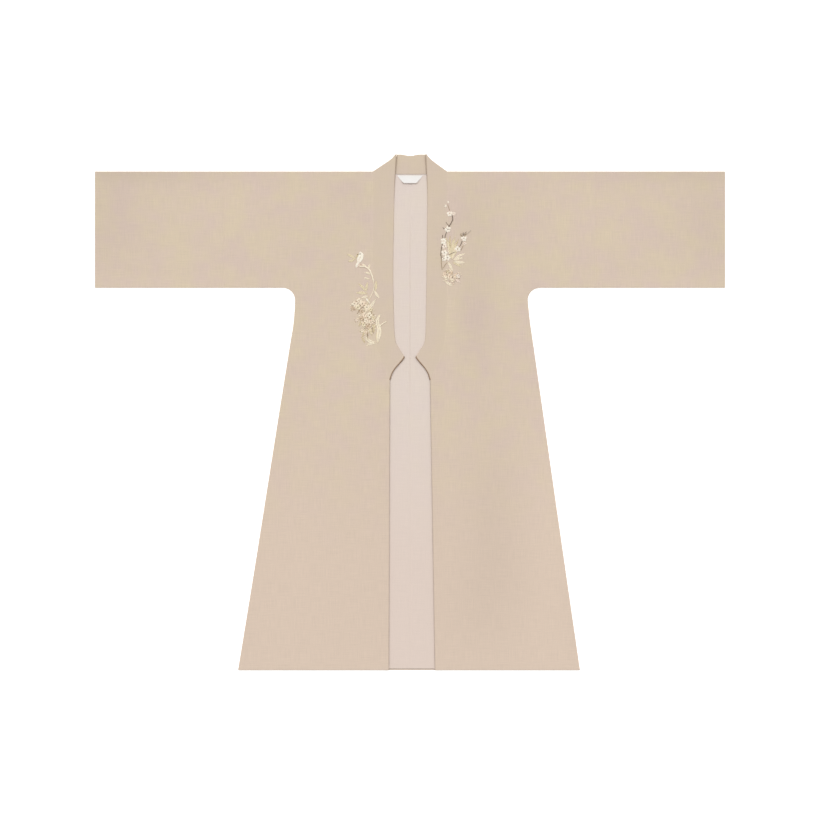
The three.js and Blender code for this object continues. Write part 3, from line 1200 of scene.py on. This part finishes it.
def addGround(stitches, flower):
    x, y, radius = flower[:3]
    for k in range(groundForm["count"]):
        angle = draws.uniform(0, math.tau)
        at = turned(x, y, angle, radius * draws.uniform(*groundForm["ring"]))
        lean = angle + draws.uniform(-groundForm["lean"], groundForm["lean"])
        size = draws.uniform(*groundForm["size"])
        start, end = turned(*at, lean, -size), turned(*at, lean, size)
        colour = draws.choice(groundForm["colours"])
        addThread(stitches, start, end, groundForm["width"], colour, 0.2)
    for k in range(groundForm["buds"]):
        angle = draws.uniform(0, math.tau)
        at = turned(x, y, angle, radius * draws.uniform(*groundForm["budRing"]))
        for lean in groundForm["budLeans"]:
            start, end = (turned(*at, angle + lean, reach) for reach in groundForm["budReach"])
            colour = draws.choice(groundForm["budColours"])
            addThread(stitches, start, end, groundForm["budWidth"], colour, 0.5)


def makeThreadMaterial():
    material, tree, shader = newMaterial("silkThread")
    place = tree.nodes.new("ShaderNodeTexCoord").outputs["Object"]
    dye = addNode(tree, "ShaderNodeAttribute", attribute_name="threadColour").outputs["Color"]
    noise = {"Vector": place, "Scale": 1600.0, "Detail": 2.0}
    twist = addNode(tree, "ShaderNodeTexNoise", noise).outputs["Fac"]
    baseColour = scaled(tree, dye, ranged(tree, twist, (0.3, 0.7), (0.94, 1.04)))
    tree.links.new(baseColour, shader.inputs["Base Color"])
    tree.links.new(ranged(tree, twist, (0.0, 1.0), (0.38, 0.56)), shader.inputs["Roughness"])
    bump = addNode(tree, "ShaderNodeBump", {"Height": twist, "Strength": 0.3, "Distance": 0.1 * mm})
    tree.links.new(bump.outputs[0], shader.inputs["Normal"])
    shader.inputs["Sheen Weight"].default_value = 0.15
    return material


materials["silkThread"] = makeThreadMaterial()


def stitchPiece(name, stitches):
    piece = newPiece(name, stitches["points"], stitches["faces"])
    colours = piece.data.color_attributes.new("threadColour", "FLOAT_COLOR", "POINT")
    colours.data.foreach_set("color", stitches["colours"])
    smoothPiece(piece)
    piece.data.materials.append(materials["silkThread"])
    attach(piece, "root")


# the spray on the right front: a small bird over bamboo leaves, little flowers and long grass.
# Places are (out, below the shoulder) in millimetres, and the wearer's right is negative.
birdSpray = {
    "stems": [
        ([(-113, 219), (-103, 220), (-94, 226), (-88, 238), (-84, 252)], 2.5, "cream"),
        ([(-84, 252), (-83, 264), (-86, 279), (-93, 292)], 1.2, "cream"),
        ([(-93, 292), (-98, 304), (-103, 318)], 1.3, "paleYellow"),
        ([(-72, 366), (-67, 354), (-57, 347)], 1.9, "cream"),
        ([(-88, 322), (-92, 346), (-98, 372), (-96, 388)], 0.9, "olive"),
        ([(-104, 308), (-113, 316), (-121, 327)], 0.8, "olive"),
        ([(-86, 330), (-88, 350), (-84, 372)], 0.8, "olive"),
    ],
    "leaves": [    # from (out, below), to (out, below), half the width, bow, colour
        (-124, 202, -146, 190, 1.4, 0.8, "paleYellow"),
        (-126, 203, -142, 207, 1.4, -0.6, "paleYellow"),
        (-125, 200, -119, 188, 1.2, 0.5, "straw"),
        (-100, 221, -110, 213, 1.2, 0.4, "cream"),
        (-95, 226, -92, 212, 1.2, -0.5, "cream"),
        (-89, 238, -105, 233, 1.3, 1.2, "cream"),
        (-92, 248, -106, 243, 1.2, -1.4, "cream"),
        (-101, 276, -119, 258, 1.5, 1.0, "paleYellow"),
        (-101, 277, -97, 255, 1.6, -0.8, "paleYellow"),
        (-98, 281, -124, 280, 1.8, 0.9, "paleYellow"),
        (-96, 286, -113, 291, 1.4, -1.0, "cream"),
        (-80, 276, -78, 251, 1.6, 0.8, "paleYellow"),
        (-83, 273, -70, 292, 1.5, 0.8, "cream"),
        (-104, 324, -78, 293, 1.8, 1.6, "cream"),
        (-101, 292, -93, 304, 1.1, -0.5, "white"),
        (-75, 395, -74, 344, 2.9, 3.4, "cream"),
        (-74, 362, -70, 329, 2.1, -3.0, "cream"),
        (-73, 394, -68, 364, 1.5, -5.6, "paleYellow"),
        (-79, 393, -103, 377, 1.9, -5.6, "cream"),
        (-78, 396, -100, 401, 1.5, 2.6, "cream"),
        (-76, 344, -66, 330, 1.2, -2.0, "cream"),
        (-110, 381, -102, 362, 1.4, 1.0, "straw"),
        (-104, 395, -112, 380, 1.2, 0.8, "straw"),
        (-88, 379, -96, 356, 1.6, 1.2, "paleYellow"),
        (-84, 372, -79, 350, 1.4, -1.0, "straw"),
        (-118, 357, -112, 342, 1.2, 0.8, "straw"),
    ],
    "flowers": [    # out, below, radius, petals, heart
        (-127, 305, 5.6, "cream", "olive"),
        (-117, 298, 5.0, "cream", "clay"),
        (-131, 315, 4.2, "tan", "olive"),
        (-120, 313, 5.4, "paleYellow", "olive"),
        (-109, 305, 5.2, "peach", "olive"),
        (-99, 313, 5.6, "cream", "ash"),
        (-91, 318, 4.6, "paleYellow", "olive"),
        (-112, 322, 4.2, "tan", "bark"),
        (-104, 331, 5.4, "peach", "clay"),
        (-93, 331, 5.8, "cream", "olive"),
        (-111, 338, 4.6, "tan", "olive"),
        (-84, 337, 4.4, "paleYellow", "clay"),
        (-101, 344, 5.2, "cream", "clay"),
        (-90, 347, 4.8, "peach", "olive"),
        (-107, 353, 4.4, "paleYellow", "olive"),
        (-97, 357, 4.8, "tan", "clay"),
        (-84, 356, 3.8, "straw", "olive"),
        (-110, 367, 3.8, "cream", "olive"),
        (-101, 370, 3.6, "peach", "olive"),
        (-90, 368, 3.4, "straw", "olive"),
        (-124, 343, 2.6, "rose", "tan"),
    ],
    "shade": [    # small dark stitches between the flowers
        (-123, 309), (-114, 308), (-126, 311), (-117, 319), (-106, 312), (-104, 322), (-98, 323),
        (-110, 330), (-97, 338), (-106, 345), (-94, 352), (-88, 340), (-86, 350), (-100, 351),
        (-83, 330), (-81, 346), (-113, 345), (-104, 362), (-92, 361), (-107, 374), (-97, 377),
        (-87, 362), (-133, 309), (-120, 303),
    ],
}

# the spray on the left front: a twig of plum blossom over a tuft of grass
plumSpray = {
    "twigs": [
        ([(87, 78), (89, 84), (91, 90)], 0.9, "olive"),
        ([(97, 104), (98, 111), (94, 120), (89, 128)], 1.4, "bark"),
        ([(84, 140), (81, 149), (79, 156)], 1.1, "bark"),
        ([(74, 168), (72, 178), (71, 190), (72, 200)], 1.2, "bark"),
        ([(72, 203), (72, 213), (74, 226)], 0.9, "olive"),
        ([(88, 193), (96, 189), (103, 186)], 1.1, "bark"),
        ([(113, 174), (117, 168), (120, 160)], 1.2, "bark"),
        ([(90, 125), (86, 122), (83, 118)], 0.8, "bark"),
        ([(82, 133), (78, 132), (76, 130)], 0.8, "bark"),
        ([(76, 154), (75, 151), (75, 148)], 1.0, "bark"),
        ([(119, 149), (117, 146), (117, 144)], 1.3, "olive"),
        ([(122, 148), (122, 145), (122, 142)], 1.3, "bark"),
        ([(125, 149), (127, 146), (129, 144)], 1.4, "olive"),
        ([(124, 146), (127, 142), (129, 140)], 0.8, "bark"),
        ([(127, 147), (134, 142), (140, 136)], 0.6, "ash"),
        ([(77, 222), (81, 215), (86, 210)], 0.8, "olive"),
        ([(75, 198), (80, 201), (86, 197)], 0.7, "bark"),
        ([(122, 172), (119, 178), (117, 182)], 0.8, "olive"),
    ],
    "grass": [
        (93, 200, 83, 152, 1.6, 1.5, "paleYellow"),
        (94, 201, 92, 148, 1.7, -1.2, "straw"),
        (95, 201, 104, 150, 1.7, -1.5, "paleYellow"),
        (92, 200, 87, 160, 1.5, 0.6, "cream"),
        (95, 202, 98, 156, 1.5, 0.4, "paleYellow"),
        (97, 202, 118, 168, 1.4, -1.8, "paleYellow"),
        (97, 201, 112, 156, 1.6, -2.4, "straw"),
        (96, 203, 106, 166, 1.4, 1.2, "cream"),
        (99, 204, 128, 189, 1.4, -2.0, "cream"),
        (99, 207, 127, 209, 1.6, 1.4, "cream"),
        (99, 205, 124, 199, 1.3, -1.0, "cream"),
        (98, 210, 118, 220, 1.3, -1.2, "paleYellow"),
        (90, 210, 99, 230, 1.6, 0.8, "cream"),
        (86, 208, 92, 219, 1.2, -0.6, "cream"),
        (80, 252, 98, 263, 1.5, 0.9, "cream"),
        (104, 248, 116, 257, 1.2, -0.6, "rose"),
        (88, 242, 96, 229, 1.3, 0.5, "peach"),
        (100, 246, 108, 234, 1.3, -0.6, "peach"),
        (76, 246, 84, 238, 1.2, 0.5, "cream"),
    ],
    "blossoms": [
        (88, 71, 2.6, "white", "cream"),
        (82, 80, 2.9, "white", "cream"),
        (91, 98, 5.4, "white", "peach"),
        (101, 98, 4.6, "rose", "tan"),
        (87, 134, 5.6, "white", "ash"),
        (77, 161, 6.2, "white", "peach"),
        (79, 172, 5.2, "rose", "tan"),
        (79, 188, 5.9, "white", "ash"),
        (86, 199, 6.4, "white", "ash"),
        (78, 202, 4.6, "white", "bark"),
        (110, 179, 5.8, "white", "bark"),
        (124, 155, 5.7, "white", "ash"),
        (126, 166, 3.4, "rose", "tan"),
        (79, 237, 4.4, "peach", "clay"),
        (91, 243, 4.8, "peach", "clay"),
        (83, 247, 4.0, "cream", "clay"),
        (97, 251, 4.4, "cream", "clay"),
        (111, 241, 4.4, "rose", "ash"),
        (95, 234, 3.6, "tan", "clay"),
        (87, 231, 3.2, "straw", "olive"),
        (103, 244, 3.0, "peach", "olive"),
    ],
    "shade": [
        (86, 240), (87, 247), (92, 250), (98, 244), (84, 233), (103, 240), (90, 229), (101, 257),
        (113, 247),
    ],
}


def birdStitches():
    bird = newStitches()
    for tail in ((-118, 207, -124, 222, 1.5, 0.6, "white"), (-117, 208, -121, 222, 1.2, -0.5, "rose")):
        addLeaf(bird, tail, 0.5)
    addLeaf(bird, (-120, 213, -109, 190, 3.5, -0.8, "white"), 0.5)
    addLeaf(bird, (-111, 198, -118, 212, 1.3, 2.0, "rose"), 0.5)
    addLeaf(bird, (-106, 192, -118, 190, 2.8, 0.2, "white"), 0.5)
    addThread(bird, (-117.5, 190.6), (-122.5, 192), 1.2, "bark", 0.3)
    addKnot(bird, (-114.8, 190.2), 2.8, "ink")
    addKnot(bird, (-115.8, 189.4), 1.2, "bark")
    addThread(bird, (-113, 212), (-111, 221), 0.6, "tan", 0.2)
    addThread(bird, (-115, 213), (-114, 221), 0.6, "tan", 0.2)
    return bird


def sprayStitches(rows, addOne):
    stitches = newStitches()
    for row in rows:
        addOne(stitches, row)
    return stitches


shadeForm = {"count": 3, "reach": 1.5, "width": 0.6, "colours": ("olive", "bark", "olive")}


def flowerStitches(flowers, shade):
    stitches = newStitches()
    for flower in flowers:
        if flower[3] != "white" and flower[1] > groundForm["below"]:
            addGround(stitches, flower)
    for flower in flowers:
        addBlossom(stitches, flower)
    for x, y in shade:
        for k in range(shadeForm["count"]):
            turn = draws.uniform(0, math.tau)
            start, end = (turned(x, y, turn, reach) for reach in (-shadeForm["reach"], shadeForm["reach"]))
            addThread(stitches, start, end, shadeForm["width"], draws.choice(shadeForm["colours"]), 0.3)
    return stitches


# nearly hidden prick stitches hold the turned hems, the front edges and the label, in millimetres
prick = {
    "step": 13,
    "size": 1.1,
    "width": 0.4,
    "belowTurn": 2,
    "hemEnds": (5, 8),
    "cuffEnds": 6,
    "cuffCount": 20,
    "frontIn": 9,
    "frontEnds": (8, 30),
    "frontCount": 48,
    "labelHalf": 27,
    "labelDown": 1.2,
    "labelCount": 14,
}


def prickStitches():
    stitches = newStitches()

    def row(places, colour="cloth"):
        for (x0, y0), (x1, y1) in zip(places, places[1:]):
            along = Vector((x1 - x0, y1 - y0)).normalized() * prick["size"]
            addThread(stitches, (x0, y0), (x0 + along.x, y0 + along.y), prick["width"], colour, 0.05)

    hem = (robe["shoulderY"] - robe["hemY"]) / mm
    turnedUp = body["hemTurn"] / mm - prick["belowTurn"]
    cuff = robe["cuff"] / mm - turnedUp
    depth = (robe["shoulderY"] - robe["underarmY"]) / mm
    for half, side in halves.items():
        first = frontIn(half, robe["hemY"]) / mm + prick["hemEnds"][0]
        last = sideOut(half, robe["hemY"]) / mm - prick["hemEnds"][1]
        count = round((last - first) / prick["step"])
        row([(side * out, hem - turnedUp) for out in spread(first, last, count)])
        downs = spread(prick["cuffEnds"], depth - prick["cuffEnds"], prick["cuffCount"])
        row([(side * cuff, down) for down in downs])
        top = (robe["shoulderY"] - bandEndY) / mm + prick["frontEnds"][0]
        downs = spread(top, hem - prick["frontEnds"][1], prick["frontCount"])
        edges = [frontIn(half, robe["shoulderY"] - down * mm) / mm for down in downs]
        row([(side * (edge + prick["frontIn"]), down) for edge, down in zip(edges, downs)])
    labelTop = label["topBelow"] / mm + prick["labelDown"]
    outs = spread(-prick["labelHalf"], prick["labelHalf"], prick["labelCount"])
    row([(out, labelTop) for out in outs], "cream")
    return stitches


stitchPiece("prickStitches", prickStitches())
stitchPiece("birdSprayStems", sprayStitches(birdSpray["stems"], addStem))
stitchPiece("birdSprayLeaves", sprayStitches(birdSpray["leaves"], addLeaf))
stitchPiece("birdSprayFlowers", flowerStitches(birdSpray["flowers"], birdSpray["shade"]))
stitchPiece("birdSprayBird", birdStitches())
stitchPiece("plumSprayTwigs", sprayStitches(plumSpray["twigs"], addStem))
stitchPiece("plumSprayGrass", sprayStitches(plumSpray["grass"], addLeaf))
stitchPiece("plumSprayBlossoms", flowerStitches(plumSpray["blossoms"], plumSpray["shade"]))
print("embroidery made")


# floor, light and camera
studio = {
    "fill": 0.6,
    "key": 0.83,
    "keySoftness": 12,
    "keys": {"keyLeft": (-0.66, 0.72, 1.05), "keyRight": (0.56, 0.8, 1.05)},
    "lens": 85,
    "sensor": 36,
    "across": 1.8863,
    "aim": (0.0, 0.0052),
    "floorSize": 40,
    "floorGrey": 0.9,
    "floorGlow": 0.55,
}


def makeStage():
    bpy.ops.mesh.primitive_plane_add(size=studio["floorSize"], location=(0, 0, -0.1 * mm))
    floor = bpy.context.active_object
    floor.name = "floor"
    paper, _, shader = newMaterial("palePaper")
    shader.inputs["Base Color"].default_value = (*[studio["floorGrey"]] * 3, 1)
    shader.inputs["Roughness"].default_value = 0.9
    shader.inputs["Emission Color"].default_value = (1, 1, 1, 1)
    shader.inputs["Emission Strength"].default_value = studio["floorGlow"]
    floor.data.materials.append(paper)

    world = bpy.data.worlds.new("studio")
    bpy.context.scene.world = world
    world.use_nodes = True
    background = world.node_tree.nodes["Background"]
    background.inputs["Color"].default_value = (1, 1, 1, 1)
    background.inputs["Strength"].default_value = studio["fill"]

    for name, direction in studio["keys"].items():
        bpy.ops.object.light_add(type="SUN", location=Vector(direction) * 2)
        key = bpy.context.active_object
        key.name = name
        key.data.energy = studio["key"]
        key.data.angle = math.radians(studio["keySoftness"])
        key.rotation_euler = Vector(direction).to_track_quat("Z", "Y").to_euler()

    camera = bpy.data.objects.new("camera", bpy.data.cameras.new("camera"))
    camera.data.lens = studio["lens"]
    camera.data.sensor_width = studio["sensor"]
    camera.data.clip_end = 50
    camera.location = (*studio["aim"], studio["across"] * studio["lens"] / studio["sensor"])
    bpy.context.scene.collection.objects.link(camera)
    bpy.context.scene.camera = camera
    bpy.context.scene.view_settings.view_transform = "Standard"


makeStage()
